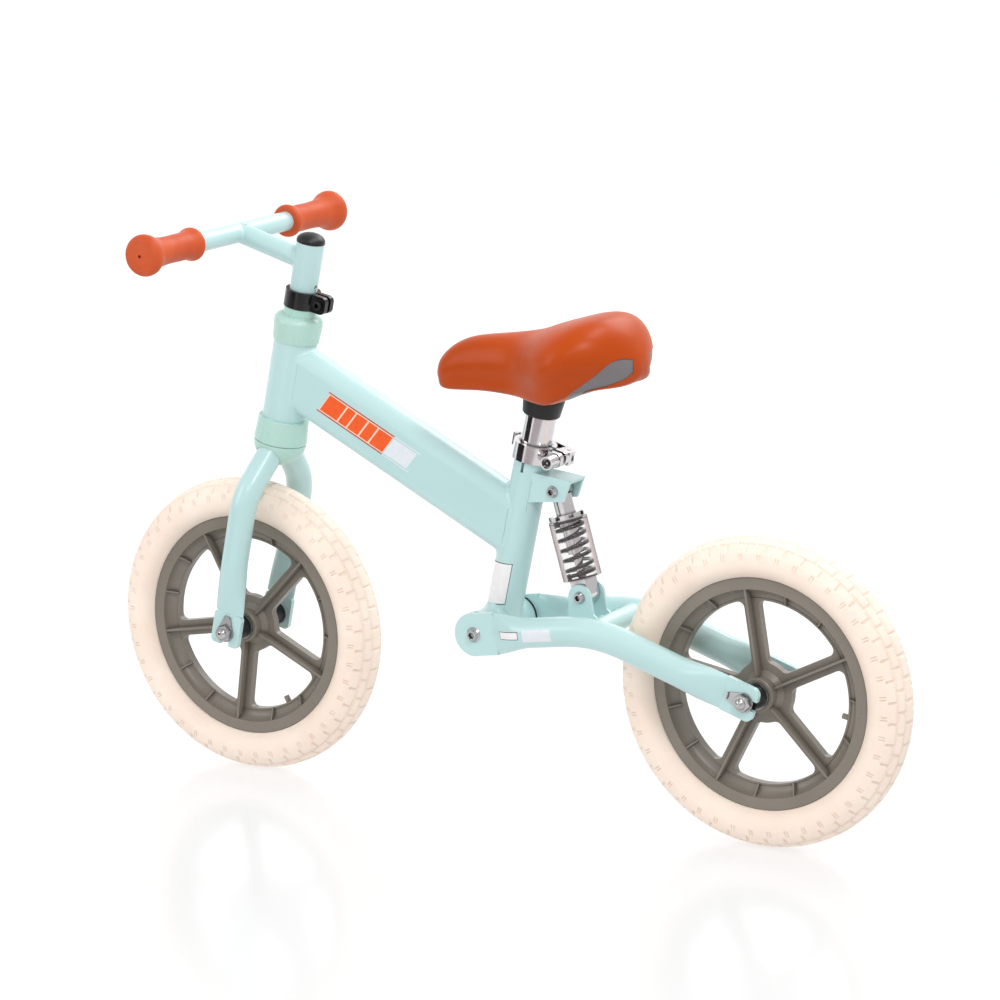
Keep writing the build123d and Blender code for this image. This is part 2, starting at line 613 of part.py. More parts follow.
def arm_stations(origin, direction, rows):
    """Planes across the arm at given distances, each with its height, thickness and place across the bike."""
    base = Vector(origin[0], 0, origin[1])
    stations = []
    for distance, y, height, thickness in rows:
        centre = base + direction * distance + Vector(0, y, 0)
        stations.append((Plane(origin=centre, x_dir=direction.cross(Vector(0, 1, 0)), z_dir=direction), height, thickness))
    return stations


def swing_arm():
    """Left arm: a bent tube pressed flat at the pivot and at the slotted rear end."""
    pivot, hub_centre = (PIVOT_X, PIVOT_Z), (REAR_X, TYRE_R)
    rearwards, forwards = unit(pivot, ARM_BEND), unit(hub_centre, ARM_BEND)
    front_start, rear_start = 62.0, 66.0
    pivot_v, hub_v = Vector(PIVOT_X, ARM_Y, PIVOT_Z), Vector(REAR_X, ARM_Y, TYRE_R)
    path = FilletPolyline(
        pivot_v + rearwards * front_start, Vector(ARM_BEND[0], ARM_Y, ARM_BEND[1]),
        hub_v + forwards * rear_start, radius=ARM_BEND_R)
    start = Plane(origin=path @ 0, z_dir=path % 0)
    tube = sweep(start * (Circle(ARM_R) - Circle(ARM_R - ARM_WALL)), path=path)
    front_mid = ARM_FRONT_PLATE_Y + PLATE_THICKNESS / 2
    rear_mid = ARM_REAR_PLATE_Y + PLATE_THICKNESS / 2
    front = flattened(arm_stations(pivot, rearwards, [
        (21.5, front_mid, 20.2, 2.5), (31.0, front_mid + 0.8, 19.0, 6.6), (43.0, ARM_Y - 1.0, 16.8, 11.4),
        (53.0, ARM_Y - 0.3, 14.9, 13.5), (front_start, ARM_Y, ARM_R, ARM_R)]))
    rear = flattened(arm_stations(hub_centre, forwards, [
        (20.0, rear_mid, 16.4, 2.6), (31.0, rear_mid + 0.9, 16.6, 6.2), (44.0, ARM_Y - 1.6, 16.0, 10.2),
        (56.0, ARM_Y - 0.4, 14.8, 13.1), (rear_start, ARM_Y, ARM_R, ARM_R)]))
    return tube + front + rear + front_eye(rearwards) + rear_dropout(forwards)


def front_eye(rearwards):
    low, high = ARM_FRONT_PLATE_Y, ARM_FRONT_PLATE_Y + PLATE_THICKNESS
    eye = rod(ARM_EYE_R, low, high) + block((0, -20.2, low), (24, 20.2, high))
    turn = degrees(atan2(rearwards.Z, rearwards.X))
    return across(PIVOT_X, PIVOT_Z, turn) * (eye - rod(PIVOT_AXLE_R / 2, 0, 80))


def rear_dropout(forwards):
    low, high = ARM_REAR_PLATE_Y, ARM_REAR_PLATE_Y + PLATE_THICKNESS
    outline = Pos(5.0, 0) * RectangleRounded(34.0, 32.8, 7.0) + Pos(15.0, 0) * Rectangle(14.0, 32.8)
    slot = AXLE_R + 0.05
    plate = Pos(0, 0, low) * extrude(outline, high - low)
    plate -= rod(slot, 0, 80) + block((-40, -slot, 0), (0, slot, 80))
    return across(REAR_X, TYRE_R, degrees(atan2(forwards.Z, forwards.X))) * plate


def swingarm_cross_tube():
    tube = across(CROSS_TUBE_X, CROSS_TUBE_Z) * ring(CROSS_TUBE_R, CROSS_TUBE_R - 1.8, -ARM_Y, ARM_Y)
    rearwards, forwards = unit((PIVOT_X, PIVOT_Z), ARM_BEND), unit((REAR_X, TYRE_R), ARM_BEND)
    path = FilletPolyline(
        Vector(PIVOT_X, ARM_Y, PIVOT_Z) + rearwards * 62.0, Vector(ARM_BEND[0], ARM_Y, ARM_BEND[1]),
        Vector(REAR_X, ARM_Y, TYRE_R) + forwards * 66.0, radius=ARM_BEND_R)
    bar = sweep(Plane(origin=path @ 0, z_dir=path % 0) * Circle(ARM_R), path=path)
    return tube - bar - other_side(bar)


def shock_lower_bracket():
    """Two ears on a base plate that is welded to the cross tube."""
    x, z = SHOCK_LOW
    radius = 11.9
    outside = slab([(x + radius, z), (x + radius, 186.0), (CROSS_TUBE_X + 4, 186.0), (CROSS_TUBE_X + 4, 190.0),
                    (x - radius - 2.4, 200.0), (x - radius, z)], -BRACKET_HALF, BRACKET_HALF)
    outside += across(x, z) * rod(radius, -BRACKET_HALF, BRACKET_HALF)
    inside = block((-160, -BRACKET_HALF + BRACKET_WALL, 189.0), (0, BRACKET_HALF - BRACKET_WALL, 260))
    bracket = outside - inside
    bracket -= across(CROSS_TUBE_X, CROSS_TUBE_Z) * rod(CROSS_TUBE_R, -60, 60)
    return bracket - across(x, z) * rod(SHOCK_BOLT_R, -40, 40)


def pivot_axle():
    return across(PIVOT_X, PIVOT_Z) * ring(PIVOT_AXLE_R, PIVOT_AXLE_R / 2, -ARM_FRONT_PLATE_Y, ARM_FRONT_PLATE_Y)


def pivot_bolt():
    """Left socket bolt with its dished washer."""
    face = ARM_FRONT_PLATE_Y + PLATE_THICKNESS
    washer = Pos(0, 0, face) * Cone(7.4, 6.0, 1.6, align=FROM_BASE)
    head = Pos(0, 0, face + 1.6) * Cone(5.8, 4.6, 2.6, align=FROM_BASE)
    socket = Pos(0, 0, face + 1.8) * extrude(RegularPolygon(3.3, 6), 5)
    return across(PIVOT_X, PIVOT_Z) * (rod(PIVOT_AXLE_R / 2, 16, face + 2) + washer + head - socket)


# ---------------------------------------------------------------- shock absorber


def shock_eye(centre_s, clearance):
    """Flat-sided eye on a bolt across the shock."""
    eye = Pos(0, 0, centre_s) * Rot(-90, 0, 0) * rod(8.2, -SHOCK_EYE_HALF, SHOCK_EYE_HALF)
    bore = Pos(0, 0, centre_s) * Rot(-90, 0, 0) * rod(SHOCK_BOLT_R + clearance, -20, 20)
    return eye, bore


def shock_rod():
    """Lower eye, spring seat and damper rod."""
    eye, bore = shock_eye(0, OPEN_PIVOT_CLEARANCE)
    lug = block((-8.2, -SHOCK_EYE_HALF, 0), (8.2, SHOCK_EYE_HALF, 16))
    seat = rod(SPRING_SEAT_R, 16, SPRING_SEAT)
    return SHOCK * (eye + lug + seat + rod(4.0, SPRING_SEAT - 1, 60) - bore)


def shock_body():
    """Upper eye and damper tube, bored for the rod."""
    eye, bore = shock_eye(SHOCK_LENGTH, 0.05)
    neck = rod(9.5, 64.0, 96.0)
    damper = rod(7.6, 40.0, 66.0)
    return SHOCK * (eye + neck + damper - bore - rod(4.05, 30, 76))


def shock_adjuster():
    """Notched ring that sets the spring's preload."""
    nut = ring(17.0, 9.5, 71.0, 77.5) + ring(15.6, 9.5, SPRING_TOP, 71.0)
    notches = [Rot(0, 0, k * 45) * block((13, -2.4, 74.0), (20, 2.4, 80)) for k in range(8)]
    return SHOCK * (nut - notches)


def shock_cover():
    """Clear sleeve hung from the adjuster over the spring."""
    sleeve = ring(COVER_R, COVER_BORE_R, 16.4, 72.7)
    return SHOCK * (sleeve + ring(COVER_BORE_R + 0.3, 15.6, 70.2, 71.0))


def shock_spring():
    """Coil, each half turn a separate swept span joined to the next."""
    height = SPRING_TOP - SPRING_SEAT - 2 * SPRING_WIRE_R - 0.2
    pitch = height / SPRING_TURNS
    helix = Helix(pitch=pitch, height=height, radius=SPRING_R)
    coil = sweep(Plane(origin=helix @ 0, z_dir=helix % 0) * Circle(SPRING_WIRE_R), path=helix, is_frenet=True)
    return SHOCK * Pos(0, 0, SPRING_SEAT + SPRING_WIRE_R + 0.1) * coil


# ---------------------------------------------------------------- seat


def saddle_section(x, half, low_half, top, low):
    """Closed section across the saddle: a domed top over sides that tuck in to a flatter underside."""
    middle = low + 0.46 * (top - low)
    points = [(0, top)]
    for angle in (66, 45, 24, 0):
        points.append((half * cos(radians(angle)) ** 0.8, middle + (top - middle) * sin(radians(angle)) ** 0.86))
    points += [(0.45 * half + 0.55 * low_half, low + 0.5 * (middle - low)), (low_half, low + 0.12 * (middle - low)),
               (0.72 * low_half, low)]
    ends = [(-y, z) for y, z in reversed(points[1:])]
    return make_face(Spline(*[(x, y, z) for y, z in points + [(0, low)] + ends], periodic=True))


def saddle_body():
    return loft([saddle_section(*row) for row in SADDLE])


def pan_opening():
    """The pan's side view: it shows below an arch in the skirt on each side at the back."""
    arch = Spline(*in_xz([(-84, 396), (-100.5, 404.5), (-113, 414.5), (-129, 426.8), (-144, 440), (-151.5, 444.8),
                          (-156.4, 443.5), (-158, 437), (-156.8, 430.5)]))
    under = Spline(*in_xz([(-156.8, 430.5), (-153, 426.4), (-147, 423.2), (-138, 420), (-128, 417.6), (-119, 413.8),
                           (-112, 404)]))
    rest = Polyline(*in_xz([(-112, 404), (-112, 396), (-84, 396)]))
    return extrude(make_face((arch + under + rest).edges()), 100, both=True)


def saddle_core(shrink):
    """The saddle's body drawn in towards its middle plane."""
    rows = [(x, half - shrink, low_half - shrink, top, low) for x, half, low_half, top, low in SADDLE[2:-1]]
    return loft([saddle_section(*row) for row in rows])


def saddle_base():
    """Plastic pan in the underside of the pad, with a boss that holds the socket."""
    pan = saddle_core(2.0) & pan_opening()
    floor = saddle_core(9.0) & block((-128, -80, 390), (36, 80, 412))
    return pan + floor - SEAT * (rod(19.6, 150, SOCKET_HIGH) + rod(3.0, 200, SOCKET_HIGH + 8))


def saddle_pad(base):
    """Soft pad over the pan, without the thin shavings that the cuts leave under it."""
    pad = saddle_body() - pan_opening() - base - SEAT * rod(19.6, 150, SOCKET_HIGH)
    return pad.solids().sort_by(SortBy.VOLUME)[-1] - SEAT * rod(3.0, 200, SOCKET_HIGH + 8)


def saddle_socket():
    outline = [
        (POST_R, SOCKET_LOW), (17.0, SOCKET_LOW), (17.8, SOCKET_LOW + 1), (19.6, SOCKET_HIGH - 4),
        (19.6, SOCKET_HIGH), (6.0, SOCKET_HIGH), (6.0, POST_HIGH), (POST_R, POST_HIGH),
    ]
    return SEAT * spin(outline)


def seat_post():
    tube = ring(POST_R, POST_R - POST_WALL, POST_LOW, POST_HIGH)
    return SEAT * tube


def saddle_screw():
    """Bolt through the socket into the pan, with its washer under the post's top."""
    shank = rod(3.0, POST_HIGH - 8, SOCKET_HIGH + 8)
    washer = rod(POST_R - POST_WALL - 0.1, POST_HIGH - 3, POST_HIGH)
    head = Pos(0, 0, POST_HIGH - 8) * extrude(RegularPolygon(5.5, 6), 5)
    return SEAT * (shank + washer + head)


# ---------------------------------------------------------------- write every piece


def save(name, shape):
    export_step(shape, f"parts/{name}.step")


def save_wheel(end, x, turn, plate_y, tab_turn):
    place, still = across(x, TYRE_R, turn), across(x, TYRE_R, tab_turn)
    face = plate_y + PLATE_THICKNESS
    save(f"{end}_wheel", place * wheel_moulding())
    save(f"{end}_tyre", place * tyre())
    save(f"{end}_bearings", group(*[place * bearing for bearing in bearings()]))
    save(f"{end}_spacers", still * spacers(plate_y))
    save(f"{end}_axle", still * axle(plate_y))
    save(f"{end}_axle_nuts", group(*[still * nut for nut in axle_nuts(face)]))
    washer = still * tab_washer(face)
    save(f"{end}_tab_washers", group(washer, other_side(washer)))


def save_pair(name, left):
    save(f"{name}_left", left)
    save(f"{name}_right", other_side(left))


def main():
    os.makedirs("parts", exist_ok=True)
    forwards = unit((REAR_X, TYRE_R), ARM_BEND)
    save_wheel("front", FRONT_X, FRONT_SPOKE_ANGLE, FORK_PLATE_Y, 90 + RAKE)
    save_wheel("rear", REAR_X, REAR_SPOKE_ANGLE, ARM_REAR_PLATE_Y, degrees(atan2(forwards.Z, forwards.X)))
    save_pair("fork_blade", STEER * fork_blade())
    save_pair("arm", swing_arm())
    save_pair("grip", STEER * grip())
    for make in (fork_steerer, fork_crown_cover, headset_lower_cup, headset_upper_cover, headset_races,
                 headset_balls, headset_cones, head_tube, stem_tube, stem_cap, stem_neck, handlebar,
                 stem_clamp, stem_clamp_bolt):
        save(make.__name__, STEER * make())
    for make in (seat_tube, down_tube, pivot_shell, pivot_bushes, shock_top_bracket, seat_collar, qr_skewer,
                 qr_barrel_nut, qr_cam_washer, qr_lever, swingarm_cross_tube, shock_lower_bracket,
                 pivot_axle, shock_rod, shock_body, shock_adjuster, shock_cover, shock_spring, saddle_socket,
                 seat_post, saddle_screw):
        save(make.__name__, make())
    save("shock_upper_bolt", shock_bolt(*SHOCK_HIGH))
    save("shock_lower_bolt", shock_bolt(*SHOCK_LOW))
    save("pivot_bolts", group(pivot_bolt(), other_side(pivot_bolt())))
    base = saddle_base()
    save("saddle_base", base)
    save("saddle_pad", saddle_pad(base))


main()
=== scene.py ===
import json
from math import atan2, cos, pi, radians, sin, sqrt

import bmesh
import bpy
import numpy as np
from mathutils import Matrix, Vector
from mathutils.bvhtree import BVHTree


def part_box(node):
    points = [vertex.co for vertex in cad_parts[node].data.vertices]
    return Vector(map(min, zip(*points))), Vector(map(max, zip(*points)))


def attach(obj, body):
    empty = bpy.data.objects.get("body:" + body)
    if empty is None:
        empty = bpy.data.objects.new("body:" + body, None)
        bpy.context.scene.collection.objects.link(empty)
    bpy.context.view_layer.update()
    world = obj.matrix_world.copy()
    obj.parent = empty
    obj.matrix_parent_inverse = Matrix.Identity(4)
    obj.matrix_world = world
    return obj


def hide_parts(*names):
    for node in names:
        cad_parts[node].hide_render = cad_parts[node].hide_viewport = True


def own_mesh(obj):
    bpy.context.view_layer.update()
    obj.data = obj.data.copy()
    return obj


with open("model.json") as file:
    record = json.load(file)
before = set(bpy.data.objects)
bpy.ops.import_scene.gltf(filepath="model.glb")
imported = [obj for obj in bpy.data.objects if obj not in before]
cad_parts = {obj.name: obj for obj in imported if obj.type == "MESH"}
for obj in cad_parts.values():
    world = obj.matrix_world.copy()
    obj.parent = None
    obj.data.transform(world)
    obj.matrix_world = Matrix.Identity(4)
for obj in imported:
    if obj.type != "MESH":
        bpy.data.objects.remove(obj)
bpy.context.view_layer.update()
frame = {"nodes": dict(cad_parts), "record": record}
NODES = frame["nodes"]
MM = 0.001

# Places and angles shared with the CAD. The hubs, the cross tube and the shock's ends are in metres.
FRONT_HUB = sum(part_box("front_axle"), Vector()) / 2
REAR_HUB = sum(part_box("rear_axle"), Vector()) / 2
CROSS_TUBE = sum(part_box("swingarm_cross_tube"), Vector()) / 2
RAKE = radians(12.2)
SEAT_ANGLE = radians(13.06)
SHOCK_LOW = Vector((-96.5, 0, 214.7)) * MM
SHOCK_HIGH = Vector((-69.6, 0, 312.1)) * MM
SHOCK_AXIS = (SHOCK_HIGH - SHOCK_LOW).normalized()

# Tubes of the frame, in millimetres. A foot is the (x, z) where the tube's axis is measured from.
STEERING_FOOT = (282, 145)
SEAT_TUBE_FOOT = (-2.9, 174.8)
SEAT_TUBE_RADIUS = 17.0
CROSS_TUBE_RADIUS = 9.5
DOWN_TUBE_REAR = Vector((-5.4, 0, 282.7))
DOWN_TUBE_FRONT = Vector((205.0, 0, 389.5))
DOWN_TUBE_SECTION = (33.6, 62.0, 14.0)


# ---------------------------------------------------------------- materials


def srgb(red, green, blue):
    """Linear colour from 8-bit screen values."""
    linear = []
    for value in (red / 255, green / 255, blue / 255):
        linear.append(value / 12.92 if value <= 0.04045 else ((value + 0.055) / 1.055) ** 2.4)
    return (*linear, 1.0)


class Surface:
    """Principled material with helpers for detail that is drawn in object space, so in metres."""

    def __init__(self, name, **sockets):
        self.material = bpy.data.materials.new(name)
        self.material.use_nodes = True
        self.tree = self.material.node_tree
        self.tree.nodes.clear()
        self.output = self.tree.nodes.new("ShaderNodeOutputMaterial")
        self.bsdf = self.tree.nodes.new("ShaderNodeBsdfPrincipled")
        self.coordinates = self.tree.nodes.new("ShaderNodeTexCoord").outputs["Object"]
        self.join(self.bsdf.outputs[0], self.output.inputs["Surface"])
        for key, value in sockets.items():
            self.bsdf.inputs[key.replace("_", " ")].default_value = value

    def join(self, output, socket):
        self.tree.links.new(output, socket)

    def node(self, kind, **values):
        made = self.tree.nodes.new(kind)
        for key, value in values.items():
            made.inputs[key.replace("_", " ")].default_value = value
        return made

    def noise(self, size, detail):
        """Noise whose features are about that many metres across."""
        made = self.node("ShaderNodeTexNoise", Scale=1 / size, Detail=detail)
        self.join(self.coordinates, made.inputs["Vector"])
        return made.outputs["Fac"]

    def cells(self, size):
        """Pebbled grain whose cells are about that many metres across."""
        made = self.node("ShaderNodeTexVoronoi", Scale=1 / size)
        self.join(self.coordinates, made.inputs["Vector"])
        return made.outputs["Distance"]

    def spread(self, value, low, high, start=0.3, end=0.7):
        """Values from start to end, stretched to run from low to high."""
        made = self.node("ShaderNodeMapRange", From_Min=start, From_Max=end, To_Min=low, To_Max=high)
        self.join(value, made.inputs["Value"])
        return made.outputs[0]

    def tint(self, value, first, second):
        """Base colour that runs between two tones."""
        made = self.tree.nodes.new("ShaderNodeMix")
        made.data_type = "RGBA"
        made.inputs[6].default_value = first
        made.inputs[7].default_value = second
        self.join(self.spread(value, 0, 1), made.inputs["Factor"])
        self.join(made.outputs[2], self.bsdf.inputs["Base Color"])

    def rough(self, value, low, high):
        self.join(self.spread(value, low, high), self.bsdf.inputs["Roughness"])

    def paint_recess_shade(self, reach, depth):
        """Painted shade: darken the base colour where other faces crowd in, as shadow does."""
        shade = self.node("ShaderNodeAmbientOcclusion", Distance=reach)
        shade.samples = 8
        made = self.tree.nodes.new("ShaderNodeMix")
        made.data_type = "RGBA"
        made.blend_type = "MULTIPLY"
        made.inputs["Factor"].default_value = 1
        self.join(self.bsdf.inputs["Base Color"].links[0].from_socket, made.inputs[6])
        self.join(self.spread(shade.outputs["AO"], depth, 1, 0.3, 0.85), made.inputs[7])
        self.join(made.outputs[2], self.bsdf.inputs["Base Color"])

    def bump(self, *layers):
        """Stack of (height, depth in metres) layers."""
        last = None
        for height, depth in layers:
            made = self.node("ShaderNodeBump", Distance=depth, Strength=1.0)
            self.join(height, made.inputs["Height"])
            if last is not None:
                self.join(last, made.inputs["Normal"])
            last = made.outputs[0]
        self.join(last, self.bsdf.inputs["Normal"])


def painted(name, light, dark):
    s = Surface(name, IOR=1.5, Coat_Weight=0.35, Coat_Roughness=0.12)
    s.tint(s.noise(0.09, 3), light, dark)
    s.rough(s.noise(0.03, 4), 0.30, 0.40)
    s.bump((s.noise(0.0032, 1), 0.000035), (s.noise(0.0007, 2), 0.000006))
    return s.material


def moulded(name, light, dark, rough, grain, depth, subsurface=0.0, recess_shade=0.0):
    s = Surface(name, IOR=1.48, Subsurface_Weight=subsurface, Subsurface_Scale=0.004)
    s.tint(s.noise(0.06, 3), light, dark)
    s.rough(s.noise(0.02, 3), *rough)
    s.bump((s.noise(grain * 12, 2), depth * 2), (s.noise(grain, 2), depth))
    # When asked for, painted shade darkens the base colour in recesses and gaps.
    if recess_shade:
        s.paint_recess_shade(0.006, recess_shade)
    return s.material


def metal(name, colour, shade, rough, marks=0.000004):
    s = Surface(name, Metallic=1.0)
    s.tint(s.noise(0.02, 3), colour, shade)
    s.rough(s.noise(0.006, 4), *rough)
    s.bump((s.noise(0.0012, 3), marks), (s.noise(0.012, 2), marks * 4))
    # Painted shade: the base colour darkens in recesses and gaps, where shadow falls.
    s.paint_recess_shade(0.004, 0.12)
    return s.material


def saddle_skin():
    s = Surface("saddle_skin", IOR=1.45, Specular_IOR_Level=0.1, Coat_Weight=0.26, Coat_Roughness=0.3)
    s.tint(s.noise(0.05, 3), srgb(184, 70, 2), srgb(176, 65, 2))
    s.rough(s.noise(0.015, 4), 0.40, 0.50)
    s.bump((s.noise(0.02, 2), 0.00008), (s.cells(0.0011), 0.000022), (s.noise(0.0005, 2), 0.000012))
    return s.material


def grip_rubber():
    s = Surface("grip_rubber", IOR=1.45, Specular_IOR_Level=0.35, Subsurface_Weight=0.05,
                Subsurface_Scale=0.002)
    s.tint(s.noise(0.03, 3), srgb(204, 86, 40), srgb(192, 76, 33))
    s.rough(s.noise(0.01, 4), 0.42, 0.56)
    s.bump((s.noise(0.006, 2), 0.00003), (s.noise(0.0006, 3), 0.00002))
    return s.material


def tyre_foam():
    s = Surface("tyre_foam", IOR=1.4, Subsurface_Weight=0.12, Subsurface_Scale=0.004)
    s.tint(s.noise(0.04, 4), srgb(252, 235, 221), srgb(247, 227, 212))
    s.rough(s.noise(0.008, 4), 0.42, 0.58)
    s.bump((s.noise(0.010, 2), 0.00008), (s.cells(0.0013), 0.00002), (s.noise(0.0006, 2), 0.000015))
    return s.material


def clear_plastic():
    """Thin clear sleeve: see-through, with reflections that grow towards its edges."""
    s = Surface("clear_plastic", IOR=1.45, Base_Color=srgb(236, 226, 226))
    clear = s.node("ShaderNodeBsdfTransparent", Color=(0.97, 0.965, 0.965, 1))
    fresnel = s.node("ShaderNodeFresnel", IOR=1.22)
    grain = s.spread(s.noise(0.01, 3), 0.0, 0.03)
    total = s.tree.nodes.new("ShaderNodeMath")
    total.operation = "ADD"
    mix = s.tree.nodes.new("ShaderNodeMixShader")
    s.rough(s.noise(0.01, 3), 0.05, 0.1)
    s.join(fresnel.outputs[0], total.inputs[0])
    s.join(grain, total.inputs[1])
    s.join(total.outputs[0], mix.inputs[0])
    s.join(clear.outputs[0], mix.inputs[1])
    s.join(s.bsdf.outputs[0], mix.inputs[2])
    s.join(mix.outputs[0], s.output.inputs["Surface"])
    return s.material


def printed(name, light, dark, rough=(0.3, 0.42)):
    s = Surface(name, IOR=1.45)
    s.tint(s.noise(0.004, 4), light, dark)
    s.rough(s.noise(0.005, 3), *rough)
    s.bump((s.noise(0.002, 2), 0.00001))
    return s.material


PAINT = painted("frame_paint", srgb(187, 219, 219), srgb(182, 215, 215))
BLACK_ENAMEL = moulded("black_clamp", srgb(26, 25, 26), srgb(18, 18, 19), (0.16, 0.26), 0.0012, 0.000008)
HEADSET = moulded("headset_plastic", srgb(182, 217, 207), srgb(176, 212, 201), (0.2, 0.3), 0.0009, 0.000007,
                  subsurface=0.15)
BLACK = moulded("black_plastic", srgb(22, 21, 21), srgb(14, 14, 15), (0.34, 0.5), 0.0006, 0.00002)
PAN = moulded("pan_plastic", srgb(120, 114, 116), srgb(112, 107, 109), (0.38, 0.5), 0.0007, 0.00002)
# The wheel gets painted shade in its recesses and gaps.
WHEEL = moulded("wheel_plastic", srgb(133, 125, 115), srgb(124, 117, 107), (0.26, 0.36), 0.0007, 0.000018,
                recess_shade=0.45)
CHROME = metal("chrome", (0.74, 0.71, 0.72, 1), (0.66, 0.63, 0.64, 1), (0.06, 0.14))
SPRING_CHROME = metal("spring_chrome", (0.52, 0.51, 0.52, 1), (0.42, 0.41, 0.42, 1), (0.1, 0.24))
PLATED = metal("plated_steel", (0.58, 0.57, 0.57, 1), (0.46, 0.45, 0.46, 1), (0.12, 0.3), marks=0.00001)
BEARING_STEEL = metal("bearing_steel", (0.6, 0.6, 0.61, 1), (0.45, 0.45, 0.46, 1), (0.2, 0.38))
BLACK_BOLT = metal("black_bolt", (0.06, 0.06, 0.065, 1), (0.03, 0.03, 0.035, 1), (0.28, 0.44))
SADDLE_SKIN = saddle_skin()
GRIP = grip_rubber()
TYRE = tyre_foam()
CLEAR = clear_plastic()
PAPER = printed("label_paper", srgb(243, 240, 240), srgb(236, 233, 234))
PALE_FILM = printed("label_film", srgb(226, 231, 236), srgb(218, 224, 230))
INK = printed("label_ink", srgb(78, 66, 68), srgb(60, 52, 54))
ORANGE_FILM = printed("stripe_orange", srgb(243, 98, 38), srgb(236, 90, 32), (0.26, 0.36))
EDGE_FILM = printed("stripe_edge", srgb(196, 84, 62), srgb(184, 74, 54), (0.26, 0.36))
PEACH_FILM = printed("stripe_peach", srgb(252, 214, 194), srgb(247, 206, 184), (0.26, 0.36))

BY_SLOT = {
    "frame_paint": PAINT, "headset_plastic": HEADSET, "black_plastic": BLACK, "black_clamp": BLACK_ENAMEL,
    "black_bolt": BLACK_BOLT, "saddle_skin": SADDLE_SKIN, "pan_plastic": PAN, "grip_rubber": GRIP,
    "chrome": CHROME, "spring_chrome": SPRING_CHROME, "plated_steel": PLATED, "bearing_steel": BEARING_STEEL,
    "clear_plastic": CLEAR, "tyre_foam": TYRE, "wheel_plastic": WHEEL,
}


def node_slots():
    """Material slot of each CAD node, from the record."""
    found = {}
    for part in frame["record"]["subparts"]:
        found[part["node"]] = part["material_slot"]
    return found


def dress_cad():
    for name, slot in node_slots().items():
        node = NODES[name]
        node.data.materials.clear()
        node.data.materials.append(BY_SLOT[slot])


# ---------------------------------------------------------------- mesh helpers


def piece(name, points, faces, material, body):
    """Smooth mesh from points in millimetres that rides on a CAD body."""
    mesh = bpy.data.meshes.new(name)
    mesh.from_pydata([tuple(p * MM for p in point) for point in points], [], faces)
    work = bmesh.new()
    work.from_mesh(mesh)
    bmesh.ops.recalc_face_normals(work, faces=work.faces)
    work.to_mesh(mesh)
    work.free()
    mesh.polygons.foreach_set("use_smooth", [True] * len(mesh.polygons))
    mesh.materials.append(material)
    made = bpy.data.objects.new(name, mesh)
    bpy.context.scene.collection.objects.link(made)
    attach(made, body)
    return made


def sheet_faces(rows, columns, around=False, closed=False):
    """Quads of a grid of points. around joins its last column to the first, and closed its last row."""
    faces = []
    for i in range(rows if closed else rows - 1):
        for j in range(columns if around else columns - 1):
            a, b = i * columns + j, i * columns + (j + 1) % columns
            c = (i + 1) % rows * columns
            faces.append((a, b, c + (j + 1) % columns, c + j))
    return faces


def tree_of(*names):
    """Ray caster over CAD nodes, in millimetres."""
    points, faces = [], []
    for name in names:
        mesh = NODES[name].data
        start = len(points)
        points += [v.co / MM for v in mesh.vertices]
        faces += [[start + k for k in p.vertices] for p in mesh.polygons]
    return BVHTree.FromPolygons(points, faces)


# ---------------------------------------------------------------- tyres


# The section is half an ellipse about a circle of CENTRE_RADIUS, and goes on to the rim as part of another.
CENTRE_RADIUS = 124
CROWN_HEIGHT = 21
HALF_WIDTH = 23
FOOT_DROP = 15.5
FOOT_HALF_WIDTH = 13.3
RIM_SEAT = [(108.5, 10.5), (104.2, 9.2), (104.2, -9.2), (108.5, -10.5)]

# The pattern repeats this often round the tyre. Its edges across the section are lengths from the crown.
TREAD_PERIODS = 44
INNER_GROOVE = (6.3, 7.5)
OUTER_GROOVE = (15.8, 16.9)
SHOULDER_END = 24.3
SIDE_NOTCH = (27.1, 32.2)
TREAD_WALL = 0.6
SIDE_WALL = 0.7

# Its edges round the tyre are shares of one repeat.
HALF_SLOT = 0.052
SLOT_WALL = 0.026
HALF_NOTCH = 0.0185
NOTCH_WALL = 0.018
NOTCHES = (0.1815, 0.3215)

# Where the mesh has points: on both sides of each edge of the pattern, and a few between.
SECTION_STOPS = [0, 3.2, 5.7, 6.3, 7.5, 8.1, 9.9, 12.0, 13.9, 15.2, 15.8, 16.9, 17.5, 19.3, 21.8, 24.3, 25.0,
                 26.4, 27.1, 29.6, 32.2, 32.9, 34.5]
PHASE_STOPS = [0.0, 0.052, 0.078, 0.11, 0.145, 0.163, 0.20, 0.218, 0.25, 0.285, 0.303, 0.34, 0.358, 0.39,
               0.422, 0.448, 0.5, 0.552, 0.578, 0.65, 0.72, 0.79, 0.86, 0.922, 0.948]


def tread_arc():
    """Angle and length along the tread's half ellipse, from the crown to the widest point."""
    angles = np.linspace(0, pi / 2, 400)
    radial, sideways = CROWN_HEIGHT * np.cos(angles), HALF_WIDTH * np.sin(angles)
    lengths = np.concatenate([[0], np.cumsum(np.hypot(np.diff(radial), np.diff(sideways)))])
    return angles, lengths


def half_section():
    """(radius, sideways, length, normal) of each stop, from the crown to the foot of the tyre."""
    angles, lengths = tread_arc()
    rows = []
    for length in SECTION_STOPS:
        angle = float(np.interp(length, lengths, angles))
        normal = Vector((cos(angle) / CROWN_HEIGHT, sin(angle) / HALF_WIDTH)).normalized()
        radius = CENTRE_RADIUS + CROWN_HEIGHT * cos(angle)
        rows.append((radius, HALF_WIDTH * sin(angle), length, normal))
    drop = FOOT_DROP / sqrt(1 - (FOOT_HALF_WIDTH / HALF_WIDTH) ** 2)
    for step in range(1, 10):
        angle = step / 9 * np.arcsin(FOOT_DROP / drop)
        normal = Vector((-sin(angle) / drop, cos(angle) / HALF_WIDTH)).normalized()
        rows.append((CENTRE_RADIUS - drop * sin(angle), HALF_WIDTH * cos(angle), 40 + step, normal))
    return rows


def gate(value, low, high, soft):
    """1 between low and high, falling to 0 over soft on both sides."""
    return min(max((value - low) / soft + 1, 0), max((high - value) / soft + 1, 0), 1)


